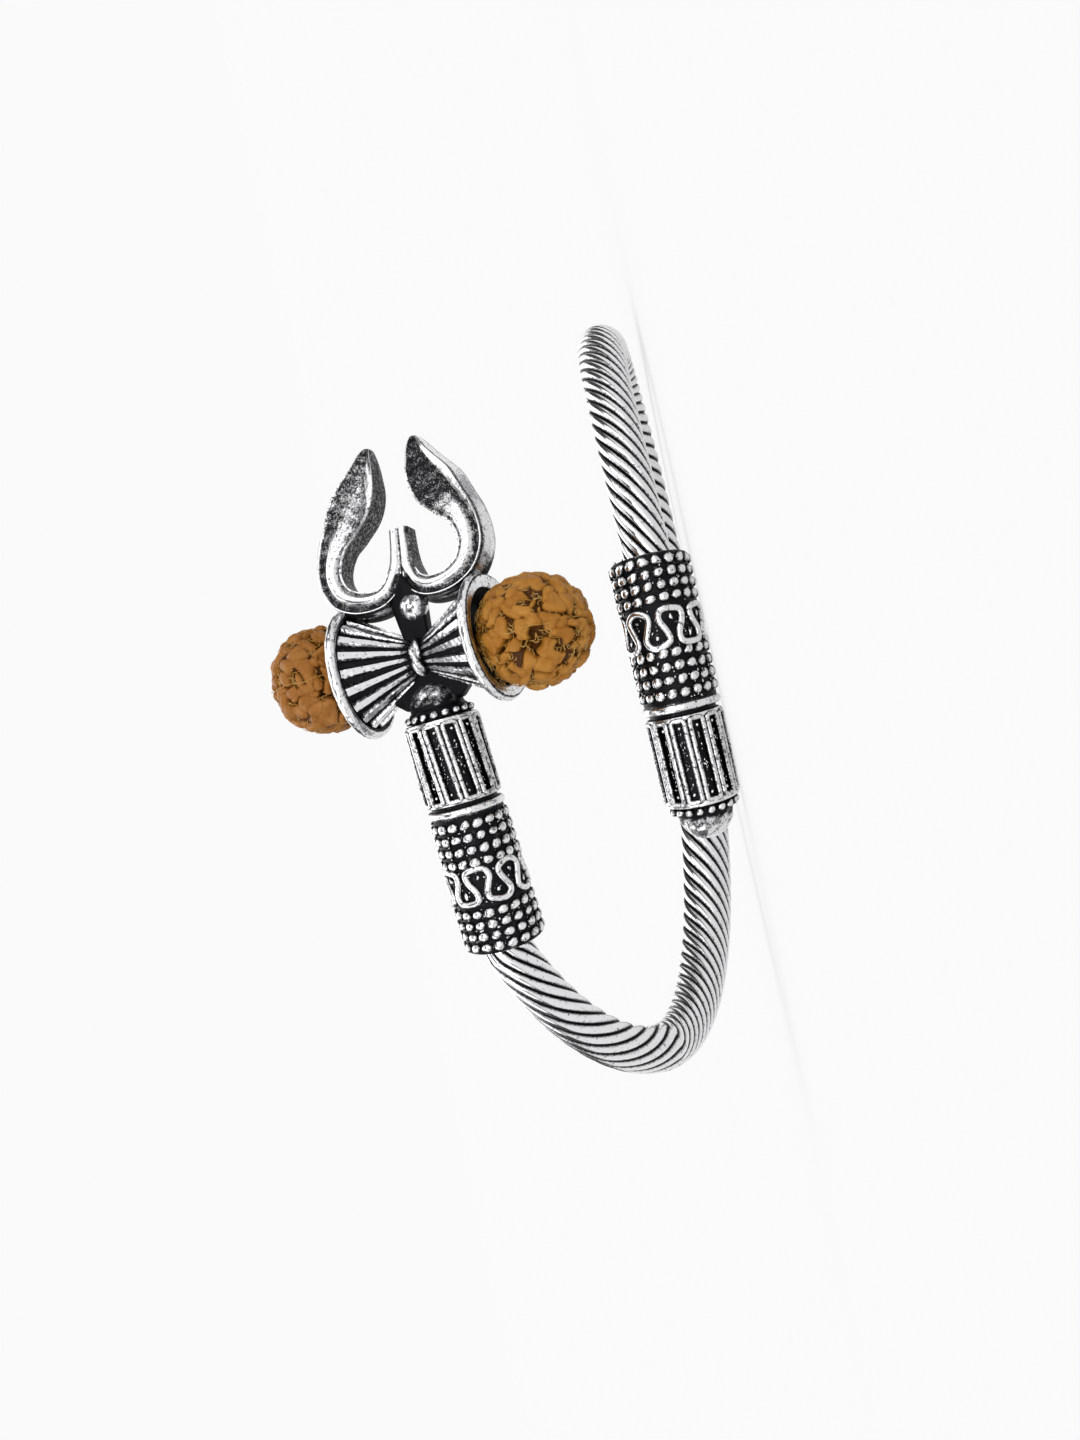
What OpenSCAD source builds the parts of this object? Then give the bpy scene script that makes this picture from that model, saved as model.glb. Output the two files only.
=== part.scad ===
// A bypass bracelet: a twisted cable rod bent in one open loop, with a cast sleeve over each end. One sleeve
// carries a small hourglass drum, a bead in each of its cups, and a trident. The bracelet lies on its side:
// the domed sleeve and the near half of the rod rest on the plane z = 0, and the front of the loop faces -Y.

/* [Cable rod] */
// Diameter of the rod over its strands
rod_d = 4.7; // [4.3:0.05:4.9]
// Depth of the groove between two strands
strand_groove = 0.26; // [0.1:0.02:0.4]
// Number of strands laid round the rod
strand_count = 11; // [8:1:13]
// Length of rod in which a strand goes once round
lay_length = 19; // [16:0.5:24]
// Length of rod inside each sleeve
socket_depth = 12; // [8:0.5:14]
// Radial clearance of the rod in a sleeve
rod_clearance = 0.08; // [0.05:0.01:0.2]

/* [Loop] */
// Heading of the domed sleeve's outer end, in degrees from the long way of the loop
start_heading = -12; // [-14:0.5:-10]
// Plan radius of the bend next to the domed sleeve
near_bend_r = 24; // [22:0.5:26]
// Plan radius of the first half of the back
back_near_r = 30.8; // [29:0.2:33]
// Plan radius of the second half of the back
back_far_r = 34.2; // [32:0.2:36]
// Plan radius of the bend next to the trident sleeve
far_bend_r = 16.7; // [15:0.1:18]
// Height of the trident end above the lowest stretch of the rod
end_rise = 24.9; // [22:0.1:27]

/* [Sleeves] */
// Length of the domed sleeve without its dome
sleeve_len = 23.4; // [22:0.1:25]
// Length of the trident sleeve without its dome
trident_sleeve_len = 22.5; // [21.5:0.1:23.4]
// Radius of a sleeve's ground at its dome end
dome_end_r = 3.3; // [3.1:0.05:3.5]
// Radius of a sleeve's ground at its rod end
rod_end_r = 3.6; // [3.5:0.05:3.8]
// Height of the cast relief above the ground
relief = 0.36; // [0.2:0.02:0.45]
// Number of small cast beads in a row round a sleeve
row_beads = 18; // [14:1:20]
// Number of framed slots round a sleeve
slots = 12; // [8:1:14]
// Number of waves of the raised wire round a sleeve
waves = 7; // [5:1:8]
// Radius of the dome that closes a sleeve
dome_r = 2.55; // [2.2:0.05:2.7]

/* [Drum] */
// Mean distance from the drum's waist to a rim
drum_half = 7.6; // [7.2:0.05:7.8]
// How much further from the waist the lower rim is than the mean, and the upper rim nearer
drum_uneven = 0.3; // [0:0.05:0.4]
// Outer radius of the rim
rim_r = 6.15; // [5.8:0.05:6.4]
// Radius of the waist under the binding
waist_r = 1.3; // [1.1:0.05:1.6]
// Number of wedge ribs on each cone
ribs = 18; // [12:1:20]
// Turn of the drum about the sleeve, in degrees
drum_turn = 25.4; // [15:0.1:30]
// Diameter of the ball above the waist
ball_d = 2.8; // [2.4:0.05:3]
// Diameter of the post that holds a bead in its cup
post_d = 1.6; // [1.2:0.1:2]

/* [Trident] */
// Thickness of the trident's plate
trident_t = 3; // [2.4:0.1:3.2]
// Backward lean of the trident, in degrees
trident_lean = 20; // [10:1:22]

/* [Beads] */
// Diameter of the bead in the lower cup
lower_bead_d = 11.3; // [10.5:0.1:11.6]
// Diameter of the bead in the upper cup
upper_bead_d = 10.4; // [9.8:0.1:11]
// Distance from the rim to the centre of the lower bead
lower_bead_out = 3.8; // [3.4:0.05:4.4]
// Distance from the rim to the centre of the upper bead
upper_bead_out = 3.1; // [3:0.05:4]
// How far the beads' line is turned off the drum's axis, as a shift at each bead
bead_shift = 0.5; // [0:0.05:0.6]

/* [Hidden] */

rod_r = rod_d / 2;
silver = [0.75, 0.75, 0.77];
dark_silver = [0.35, 0.35, 0.37];
seed_brown = [0.66, 0.41, 0.2];

// The loop in plan, as bends that follow each other from the domed sleeve's outer end to the trident sleeve's.
// [plan radius, turn in degrees]
domed_turn = 21;
trident_turn = 17;
bends = [
    [sleeve_len / (domed_turn * PI / 180), domed_turn],
    [near_bend_r, 90 - start_heading - domed_turn],
    [back_near_r, 90],
    [back_far_r, 90],
    [far_bend_r, 91 - trident_turn],
    [sleeve_len / (trident_turn * PI / 180), trident_turn]
];
// Where the domed sleeve's outer end lies, so that the whole is centred on the origin
start_point = [-11.01, -23.11];

function bend_len(i) = bends[i][0] * bends[i][1] * PI / 180;
function len_before(i) = i == 0 ? 0 : len_before(i - 1) + bend_len(i - 1);
function heading_before(i) = i == 0 ? start_heading : heading_before(i - 1) + bends[i - 1][1];
function arc_step(r, from, to) = r * [sin(to) - sin(from), cos(from) - cos(to)];
function point_before(i) = i == 0 ? start_point
    : point_before(i - 1) + arc_step(bends[i - 1][0], heading_before(i - 1), heading_before(i));
bend_starts = [for (i = [0 : len(bends) - 1]) len_before(i)];
bend_points = [for (i = [0 : len(bends) - 1]) point_before(i)];
bend_headings = [for (i = [0 : len(bends) - 1]) heading_before(i)];
loop_len = len_before(len(bends) - 1) + bend_len(len(bends) - 1);

function bend_at(s, i = 0) = i == len(bends) - 1 || s < bend_starts[i + 1] ? i : bend_at(s, i + 1);
function heading(s) = let (i = bend_at(s)) bend_headings[i] + (s - bend_starts[i]) / bends[i][0] * 180 / PI;
function plan(s) = let (i = bend_at(s)) bend_points[i] + arc_step(bends[i][0], bend_headings[i], heading(s));

// The height of the centreline: a gentle slope along the domed sleeve, down to the rod's lowest stretch at the
// back, and up again to the trident end. Each change is half a cosine wave between two headings.
function ease(u) = u <= 0 ? 0 : u >= 1 ? 1 : (1 - cos(180 * u)) / 2;
sleeve_z = 3.68;
sleeve_slope = 0.013;
drop_headings = [39, 170];
rise_headings = [176, 394];
function height(s) = let (h = heading(s), z = sleeve_z + sleeve_slope * s,
    drop = ease((h - drop_headings[0]) / (drop_headings[1] - drop_headings[0])),
    rise = ease((h - rise_headings[0]) / (rise_headings[1] - rise_headings[0])))
    z + (rod_r + 0.02 - z) * drop + end_rise * rise;
function route(s) = let (p = plan(s)) [p[0], p[1], height(s)];

// A frame at a place on the centreline: its tangent, and two directions across it.
function unit(v) = v / norm(v);
function tangent(s) = unit(route(s + 0.05) - route(s - 0.05));
function upward(t) = unit([0, 0, 1] - t[2] * t);
module place(origin, x, y, z) {
    multmatrix([
        [x[0], y[0], z[0], origin[0]], [x[1], y[1], z[1], origin[1]], [x[2], y[2], z[2], origin[2]], [0, 0, 0, 1]
    ]) children();
}

// The cable rod. Its section has one crest and one groove for each strand, and turns left-handed along the rod.
ring_step = 1.7;
rod_from = sleeve_len - socket_depth;
rod_to = loop_len - sleeve_len + socket_depth;
rod_rings = ceil((rod_to - rod_from) / ring_step);
function rod_ring(s) = let (c = route(s), t = tangent(s), up = upward(t), side = cross(t, up))
    [for (j = [0 : 2 * strand_count - 1])
        let (a = 180 * j / strand_count - 360 * s / lay_length, r = rod_r - (j % 2) * strand_groove)
            c + r * (up * cos(a) + side * sin(a))];
module cable_rod() {
    color(silver)
        stitched([for (i = [0 : rod_rings]) rod_ring(rod_from + i * (rod_to - rod_from) / rod_rings)]);
}

// Along a sleeve, q is the distance from its dome end, and negative on the dome. A ring of points round it is
// given as its q, or one q for each point, and the distance of each point from the sleeve's centreline.
// The trident sleeve's zones are closer together, because it is the shorter one.
end_gap = 0.41;
zone_share = (trident_sleeve_len - end_gap) / sleeve_len;
function on_sleeve(q, is_domed) = is_domed ? q : loop_len - end_gap - zone_share * q;
function sleeve_point(q, a, r, is_domed) = let (
        s = on_sleeve(max(q, 0), is_domed), inward = tangent(s) * (is_domed ? 1 : -1),
        up = upward(inward), side = cross(inward, up))
    route(s) - inward * max(-q, 0) + r * (up * cos(a) + side * sin(a));
function sleeve_ring(q, radii, is_domed) = [for (j = [0 : len(radii) - 1])
    sleeve_point(is_num(q) ? q : q[j], 360 * j / len(radii), radii[j], is_domed)];
function ground_r(q) = dome_end_r + (rod_end_r - dome_end_r) * q / sleeve_len;

// The zones of a sleeve from its dome end: framed slots, a groove, a smooth ring, bead rows, a wave and bead rows
few = 2 * row_beads;
many = 2 * few;
slot_floor_r = dome_end_r - 0.15;
slot_top_r = dome_end_r + 0.2;
ring_top_r = dome_end_r + 0.3;
frames_from = 0.55;
frames_end = 8.7;
frame_end_w = 0.6;
groove_w = 0.5;
ring_w = 0.6;
first_row = 10.8;
first_pitch = 1.2;
wave_mid = 16.65;
second_row = 19.35;
second_pitch = 1.1;
dome_from = -0.65;
neck_beads = 0.15;
neck_r = dome_r + 0.2;
bore_r = rod_r + rod_clearance;
// The length in which one zone steps up or down to the next
step = 0.1;

function plain(r, n = few) = [for (j = [1 : n]) r];
function beaded(r) = [for (j = [0 : few - 1]) r + (j % 2 == 0 ? relief : 0)];
function slotted() = let (per_slot = many / slots) [for (j = [0 : many - 1])
    j % per_slot < per_slot / 3 ? slot_top_r : slot_floor_r];

// The raised wire that runs round a sleeve in waves. Its edges are moved along the sleeve, further on the steep
// stretches, where the wire would be too narrow otherwise.
wave_height = 1.35;
wire_half = 0.45;
wire_top_half = 0.2;
max_widening = 2;
function steepness(a) = norm([1, wave_height * waves * sin(waves * a) / ground_r(wave_mid)]);
function wave_q(off) = [for (j = [0 : many - 1]) let (a = 360 * j / many)
    wave_mid + wave_height * cos(waves * a) + off * min(max_widening, steepness(a))];
wave_stations = [
    [wave_q(-wire_half), plain(ground_r(wave_mid), many)],
    [wave_q(-wire_top_half), plain(ground_r(wave_mid) + relief, many)],
    [wave_q(wire_top_half), plain(ground_r(wave_mid) + relief, many)],
    [wave_q(wire_half), plain(ground_r(wave_mid), many)]
];

function row_stations(from, pitch) = [for (i = [0 : 3]) let (q = from + i * pitch) each [
    [q - pitch / 2, plain(ground_r(q))], [q, beaded(ground_r(q))]]];
sleeve_stations = concat(
    [for (a = [80, 60, 40, 20, 0]) [dome_from - dome_r * sin(a), plain(dome_r * cos(a))]],
    [[dome_from + 2 * step, plain(neck_r)], [neck_beads, beaded(neck_r)], [frames_from - step, plain(neck_r)]],
    [[frames_from, plain(slot_top_r, many)], [frames_from + frame_end_w, plain(slot_top_r, many)]],
    [[frames_from + frame_end_w + step, slotted()]],
    [for (q = [frames_end - frame_end_w - step]) [q, slotted()]],
    [for (q = [frames_end - frame_end_w]) [q, plain(slot_top_r, many)]],
    [[frames_end, plain(slot_top_r)], [frames_end + step, plain(slot_floor_r)]],
    [for (q = [frames_end + groove_w - step]) [q, plain(slot_floor_r)]],
    [for (q = [frames_end + groove_w, frames_end + groove_w + ring_w]) [q, plain(ring_top_r)]],
    row_stations(first_row, first_pitch),
    wave_stations,
    row_stations(second_row, second_pitch),
    [[sleeve_len - 2 * step, plain(rod_end_r)]]
);
// The socket for the rod, from its mouth to its floor
bore_stations = [for (i = [0 : 3]) sleeve_len - socket_depth * i / 3 - (i == 3 ? step : 0)];

// One closed solid from rings of points. The next ring has as many points as this one, twice as many or half.
function step_faces(from, n, to, m) =
    m == n ? [for (j = [0 : n - 1]) let (k = (j + 1) % n) each [
        [from + j, to + j, to + k], [from + j, to + k, from + k]]]
    : m == 2 * n ? [for (j = [0 : n - 1]) let (k = (j + 1) % n) each [
        [from + j, to + 2 * j, to + 2 * j + 1], [from + j, to + 2 * j + 1, from + k],
        [from + k, to + 2 * j + 1, to + 2 * k]]]
    : [for (j = [0 : m - 1]) let (k = (j + 1) % m) each [
        [from + 2 * j, to + j, from + 2 * j + 1], [from + 2 * j + 1, to + j, to + k],
        [from + 2 * j + 1, to + k, from + 2 * k]]];
module stitched(rings) {
    counts = [for (ring = rings) len(ring)];
    last = len(rings) - 1;
    firsts = [for (i = 0, at = 0; i <= last; at = at + counts[i], i = i + 1) at];
    polyhedron(
        points = [for (ring = rings) each ring],
        faces = concat(
            [for (i = [0 : last - 1]) each step_faces(firsts[i], counts[i], firsts[i + 1], counts[i + 1])],
            [[for (j = [0 : counts[0] - 1]) j]],
            [[for (j = [counts[last] - 1 : -1 : 0]) firsts[last] + j]]
        )
    );
}
module sleeve(is_domed) {
    rings = concat(
        [for (st = sleeve_stations) sleeve_ring(st[0], st[1], is_domed)],
        [for (q = bore_stations) sleeve_ring(q, plain(bore_r), is_domed)]
    );
    stitched(rings);
}
module domed_sleeve() {
    color(dark_silver) sleeve(true);
}

// The head stands on the dome of the trident sleeve. Its x runs along the drum to the lower bead, its y away
// from the sleeve, and its z away from the wrist.
waist_above = 5.13;
module at_head() {
    t = tangent(loop_len);
    down = -upward(t);
    out = cross(down, t);
    x = down * cos(drum_turn) + out * sin(drum_turn);
    place(route(loop_len) + waist_above * t, x, t, cross(x, t)) children();
}

// One half of the drum, along local z from the waist: a cone with wedge ribs, a round lip and a cup with a post
rib_h = 0.32;
rib_share = 0.55;
lip_r = 0.55;
cup_wall = 1;
cup_floor_r = 3.6;
cone_end_r = rim_r - 0.6;
lower_half = drum_half + drum_uneven;
upper_half = drum_half - drum_uneven;
module half_drum(half, floor_z, post_end, post_shift) {
    cone_len = half - lip_r;
    difference() {
        union() {
            cylinder(r1 = waist_r, r2 = cone_end_r - rib_h, h = cone_len, $fn = 64);
            for (i = [0 : ribs - 1])
                rotate(360 / ribs * i)
                    rotate_extrude(angle = 360 / ribs * rib_share, $fn = 64)
                        polygon([[0.4, 0], [waist_r + 0.1, 0], [cone_end_r, cone_len], [cone_end_r - 1, cone_len]]);
            translate([0, 0, cone_len]) {
                rotate_extrude($fn = 64) translate([rim_r - lip_r, 0]) circle(r = lip_r, $fn = 24);
                translate([0, 0, -lip_r]) cylinder(r = rim_r - lip_r, h = 2 * lip_r, $fn = 64);
            }
        }
        translate([0, 0, floor_z])
            cylinder(r1 = cup_floor_r, r2 = rim_r - cup_wall, h = half - floor_z + 0.01, $fn = 64);
    }
    translate([0, post_shift, floor_z - post_d]) cylinder(d = post_d, h = post_end - floor_z + post_d, $fn = 32);
}
seat_gap = 0.15;
function cup_floor(half, bead_d, bead_out) = half + bead_out - bead_d / 2 - seat_gap;

// The flat web in the plane of the drum's axis that joins drum, dome, ball and trident
web_t = 1.6;
module web() {
    translate([0, 0, -web_t / 2])
        linear_extrude(web_t) {
            polygon([
                [-6.2, 6], [-1.4, 6], [0, 8], [1.4, 6], [6.2, 6], [6.4, 5.3], [4.1, 4.8], [1.7, 5.25], [1.2, 1],
                [-1.2, 1], [-1.7, 5.25], [-4.1, 4.8], [-6.4, 5.3]
            ]);
            polygon([[-1, -0.5], [1, -0.5], [4, -3.4], [2.9, -4.6], [-2.9, -4.6], [-4, -3.4]]);
        }
}

// One half of the trident, as stations along its bar: [across, up, half width, half thickness].
// It starts at the flat top of the split stub, runs round the lobe and ends in the blade's tip.
full = trident_t / 2;
bar = [
    [0.48, 12.45, 0.48, 0.75 * full],
    [0.55, 10.2, 0.53, 0.8 * full],
    [0.68, 8.6, 0.66, 0.9 * full],
    [1.2, 7.0, 0.85, full],
    [2.2, 6.2, 0.9, full],
    [3.6, 6.0, 0.95, full],
    [5.2, 6.35, 1.05, full],
    [6.6, 7.3, 1.15, full],
    [7.35, 8.9, 1.2, full],
    [7.3, 10.6, 1.27, full],
    [6.63, 12.4, 1.47, full],
    [5.52, 13.9, 1.87, full],
    [4.4, 15.5, 2.15, full],
    [3.55, 17.1, 1.85, full],
    [2.92, 18.9, 1.12, 0.8 * full],
    [2.45, 21.15, 0.15, 0.4 * full]
];
bevel = 0.4;
// How much wider the back of a bar is than its front at the outer side
draft = 0.3;
function bar_dir(i) = unit([for (k = [0, 1]) bar[min(i + 1, len(bar) - 1)][k] - bar[max(i - 1, 0)][k]]);
function bar_ring(i) = let (
        b = bar[i], d = bar_dir(i), w = b[2], t = b[3], g = min(bevel, w / 2), wide = w + min(draft, w / 3))
    [for (p = [[-w, -t], [wide, -t], [w, t - g], [w - 1.6 * g, t], [1.6 * g - w, t], [-w, t - g]])
        [b[0] + d[1] * p[0], b[1] - d[0] * p[0], p[1]]];
module half_trident() {
    stitched([for (i = [len(bar) - 1 : -1 : 0]) bar_ring(i)]);
}
lean_line = 5;
front_at_lean_line = 1.35;
module trident() {
    translate([0, lean_line, front_at_lean_line - full])
        rotate([-trident_lean, 0, 0])
            translate([0, -lean_line, 0]) {
                half_trident();
                mirror([1, 0, 0]) half_trident();
            }
}

binding_r = 0.65;
ball_place = [0.5, 4.65, 0.1];
module head() {
    at_head() {
        rotate([0, 90, 0])
            half_drum(lower_half, cup_floor(lower_half, lower_bead_d, lower_bead_out), lower_half + lower_bead_out,
                -bead_shift);
        rotate([0, -90, 0])
            half_drum(upper_half, cup_floor(upper_half, upper_bead_d, upper_bead_out), upper_half + upper_bead_out,
                bead_shift);
        // The binding round the waist, and the ball above it
        rotate([0, 90, 0])
            rotate_extrude($fn = 48)
                translate([waist_r + 0.15, 0])
                    circle(r = binding_r, $fn = 24);
        translate(ball_place) sphere(d = ball_d, $fn = 32);
        web();
        trident();
    }
}
module trident_sleeve() {
    color(dark_silver) {
        sleeve(false);
        head();
    }
}

// A seed bead on its post, with its natural bore
module rudraksha(bead_d, centre_x) {
    color(seed_brown)
        at_head()
            translate([centre_x, -sign(centre_x) * bead_shift, 0])
                rotate([0, 90, 0])
                    difference() {
                        sphere(d = bead_d, $fn = 48);
                        cylinder(d = post_d + 0.2, h = bead_d + 1, center = true, $fn = 32);
                    }
}
module lower_rudraksha() { rudraksha(lower_bead_d, lower_half + lower_bead_out); }
module upper_rudraksha() { rudraksha(upper_bead_d, -upper_half - upper_bead_out); }

cable_rod();
domed_sleeve();
trident_sleeve();
lower_rudraksha();
upper_rudraksha();
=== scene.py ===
import bpy
import numpy as np
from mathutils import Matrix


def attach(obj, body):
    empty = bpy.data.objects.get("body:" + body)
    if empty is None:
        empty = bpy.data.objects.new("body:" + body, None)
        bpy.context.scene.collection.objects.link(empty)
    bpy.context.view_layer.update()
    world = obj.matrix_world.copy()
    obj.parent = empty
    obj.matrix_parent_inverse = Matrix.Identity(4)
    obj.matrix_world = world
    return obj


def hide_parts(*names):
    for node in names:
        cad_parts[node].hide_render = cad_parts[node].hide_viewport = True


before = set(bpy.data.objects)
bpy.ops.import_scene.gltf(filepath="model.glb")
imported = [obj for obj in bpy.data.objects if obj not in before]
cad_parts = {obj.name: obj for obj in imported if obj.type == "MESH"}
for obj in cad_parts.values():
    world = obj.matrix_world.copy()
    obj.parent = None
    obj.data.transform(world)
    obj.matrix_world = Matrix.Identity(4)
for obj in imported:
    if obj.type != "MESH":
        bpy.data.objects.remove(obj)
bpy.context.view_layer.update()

# The cable rod: eleven round silver wires laid up left-handed into one springy rod, then bent into an
# open loop. Its ends sit in the sockets of the two sleeves. The route is the loop's centreline in
# millimetres, from the domed sleeve's outer end to the trident sleeve's.
MM = 0.001
UP = np.array([0.0, 0.0, 1.0])
sleeve_len = 23.4
socket_depth = 12
rod_r = 2.35
start_place = np.array([-11.01, -23.11])
start_heading = np.radians(-12)
start_z = 3.68
sleeve_slope = 0.013
floor_gap = 0.02
trident_end_rise = 24.9
bend_r = np.array([sleeve_len / np.radians(21), 24, 30.8, 34.2, 16.7, sleeve_len / np.radians(17)])
bend_turn = np.radians([21, 81, 90, 90, 74, 17])
bend_heading = start_heading + np.cumsum(bend_turn) - bend_turn
bend_start = np.cumsum(bend_r * bend_turn) - bend_r * bend_turn
loop_len = np.sum(bend_r * bend_turn)


def unit(v):
    """Each vector over its own length."""
    return v / np.linalg.norm(v, axis=-1, keepdims=True)


def together(*parts):
    """Arrays and numbers spread to one shape and stacked along a last axis."""
    return np.stack(np.broadcast_arrays(*parts), -1)


def circle(count):
    """Angles in even steps round a circle, from 0."""
    return 2 * np.pi * np.arange(count) / count


def ease(u):
    """Half a cosine wave that rises from 0 to 1 as u does."""
    return (1 - np.cos(np.pi * np.clip(u, 0, 1))) / 2


def arc(r, start, end):
    """The plan step along an arc of radius r whose heading turns from start to end."""
    return together(r * (np.sin(end) - np.sin(start)), r * (np.cos(start) - np.cos(end)))


bend_step = arc(bend_r, bend_heading, bend_heading + bend_turn)
bend_point = start_place + np.cumsum(bend_step, 0) - bend_step


def route(s):
    """The centreline at length s: arcs joined end to end in plan, and a height that slopes gently along
    the domed sleeve, eases down to the rod's lowest stretch while the heading goes from 39 to 170
    degrees, and eases up to the trident end from 176 to 394."""
    i = np.clip(np.searchsorted(bend_start, s, side="right") - 1, 0, len(bend_r) - 1)
    heading = bend_heading[i] + (s - bend_start[i]) / bend_r[i]
    plan = bend_point[i] + arc(bend_r[i], bend_heading[i], heading)
    degrees = np.degrees(heading)
    z = start_z + sleeve_slope * s
    z = z + (rod_r + floor_gap - z) * ease((degrees - 39) / (170 - 39))
    z = z + trident_end_rise * ease((degrees - 176) / (394 - 176))
    return np.concatenate([plan, z[..., None]], -1)


def tangent(s):
    """The centreline's direction, from a short chord on both sides of s."""
    step = 0.05
    return unit(route(s + step) - route(s - step))


def across(t):
    """Two directions across each tangent: the one nearest to up, and the one square to both."""
    up = unit(UP - t[..., 2:] * t)
    return up, np.cross(t, up)


def skin(points, tone_and_painted_light=1.0, round_rows=False):
    """Closed surfaces over grids of points, as (points, tone, quads, triangles). The points' axes are
    copies, rows, columns and x y z. Columns run round, and so do rows if asked; otherwise a fan closes
    each end. Faces whose signed volume is negative are turned round, so that they point outwards."""
    if points.ndim == 3:
        points = points[None]
    copies, rows, columns = points.shape[:3]
    tone_and_painted_light = np.broadcast_to(tone_and_painted_light, points.shape[:3])
    i = np.arange(rows if round_rows else rows - 1)[:, None]
    j = np.arange(columns)
    corners = [(i, j), (i, j + 1), (i + 1, j + 1), (i + 1, j)]
    quads = together(*[a % rows * columns + b % columns for a, b in corners]).reshape(-1, 4)
    places, point_tones = points.reshape(copies, -1, 3), tone_and_painted_light.reshape(copies, -1)
    fans = np.zeros((0, 3), int)
    if not round_rows:
        places = np.concatenate([places, points[:, [0, -1]].mean(2)], 1)
        point_tones = np.concatenate([point_tones, tone_and_painted_light[:, [0, -1]].mean(2)], 1)
        after = (j + 1) % columns
        first_middle, last_row = rows * columns, (rows - 1) * columns
        first_fan = together(first_middle, after, j)
        last_fan = together(first_middle + 1, last_row + j, last_row + after)
        fans = np.concatenate([first_fan, last_fan])
    tris = np.concatenate([quads[:, :3], quads[:, [0, 2, 3]], fans])
    a, b, c = (places[0] - places[0].mean(0))[tris.T]
    if np.sum(a * np.cross(b, c)) < 0:
        quads, fans = quads[:, ::-1], fans[:, ::-1]
    shift = places.shape[1] * np.arange(copies)[:, None, None]
    quads, fans = (quads + shift).reshape(-1, 4), (fans + shift).reshape(-1, 3)
    return places.reshape(-1, 3), point_tones.reshape(-1), quads, fans


def solid(name, skins, material, sharp=50):
    """One mesh from skins in millimetres with their tone as an attribute, smooth but for edges over the
    sharp angle in degrees."""
    points, tone_and_painted_light, quads, fans = zip(*skins)
    shifts = np.cumsum([0] + [len(p) for p in points])
    quads = np.concatenate([q + shift for q, shift in zip(quads, shifts)])
    fans = np.concatenate([f + shift for f, shift in zip(fans, shifts)])
    mesh = bpy.data.meshes.new(name)
    mesh.from_pydata(np.concatenate(points) * MM, [], quads.tolist() + fans.tolist())
    # The tone attribute: rubbing, tarnish and seed pits, and in places painted shade and painted
    # highlights.
    mesh.attributes.new("tone_and_painted_light", "FLOAT", "POINT").data.foreach_set("value", np.concatenate(tone_and_painted_light))
    mesh.polygons.foreach_set("use_smooth", np.ones(len(mesh.polygons), bool))
    mesh.set_sharp_from_angle(angle=np.radians(sharp))
    mesh.materials.append(material)
    piece = bpy.data.objects.new(name, mesh)
    bpy.context.scene.collection.objects.link(piece)
    return piece


def node(tree, kind, inputs, **settings):
    """A shader node with its settings, and each input linked to a socket or set to a value."""
    made = tree.nodes.new("ShaderNode" + kind)
    for key, value in settings.items():
        setattr(made, key, value)
    for key, value in inputs.items():
        if isinstance(value, bpy.types.NodeSocket):
            tree.links.new(value, made.inputs[key])
        else:
            made.inputs[key].default_value = value
    return made


def noise(tree, place, scale, detail, roughness=0.5):
    """A noise of about 0.5 on average, with scale waves to the metre."""
    inputs = {"Vector": place, "Scale": scale, "Detail": detail, "Roughness": roughness}
    return node(tree, "TexNoise", inputs).outputs["Fac"]


def multiply_add(tree, value, factor, added):
    """The value times the factor, plus what is added."""
    return node(tree, "Math", {0: value, 1: factor, 2: added}, operation="MULTIPLY_ADD").outputs[0]


def ramp(tree, value, start, stop, low=0.0, high=1.0, rise="LINEAR"):
    """Goes from low to high as the value goes from start to stop, and stays there on both sides."""
    inputs = {"Value": value, "From Min": start, "From Max": stop, "To Min": low, "To Max": high}
    return node(tree, "MapRange", inputs, interpolation_type=rise).outputs[0]


def mixed(tree, share, first, second):
    """Goes from the first colour to the second as the share goes from 0 to 1."""
    return node(tree, "Mix", {"Factor": share, 6: first, 7: second}, data_type="RGBA").outputs[2]


def tone_material(name):
    """An empty material with the object's coordinates and its tone attribute to build on. The tone holds
    rubbing, tarnish and the seeds' pits, and in places painted shade and painted highlights.
    """
    material = bpy.data.materials.new(name)
    material.use_nodes = True
    tree = material.node_tree
    tree.nodes.clear()
    place = node(tree, "TexCoord", {}).outputs["Object"]
    tone_and_painted_light = node(tree, "Attribute", {}, attribute_name="tone_and_painted_light").outputs["Fac"]
    return material, tree, place, tone_and_painted_light


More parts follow.
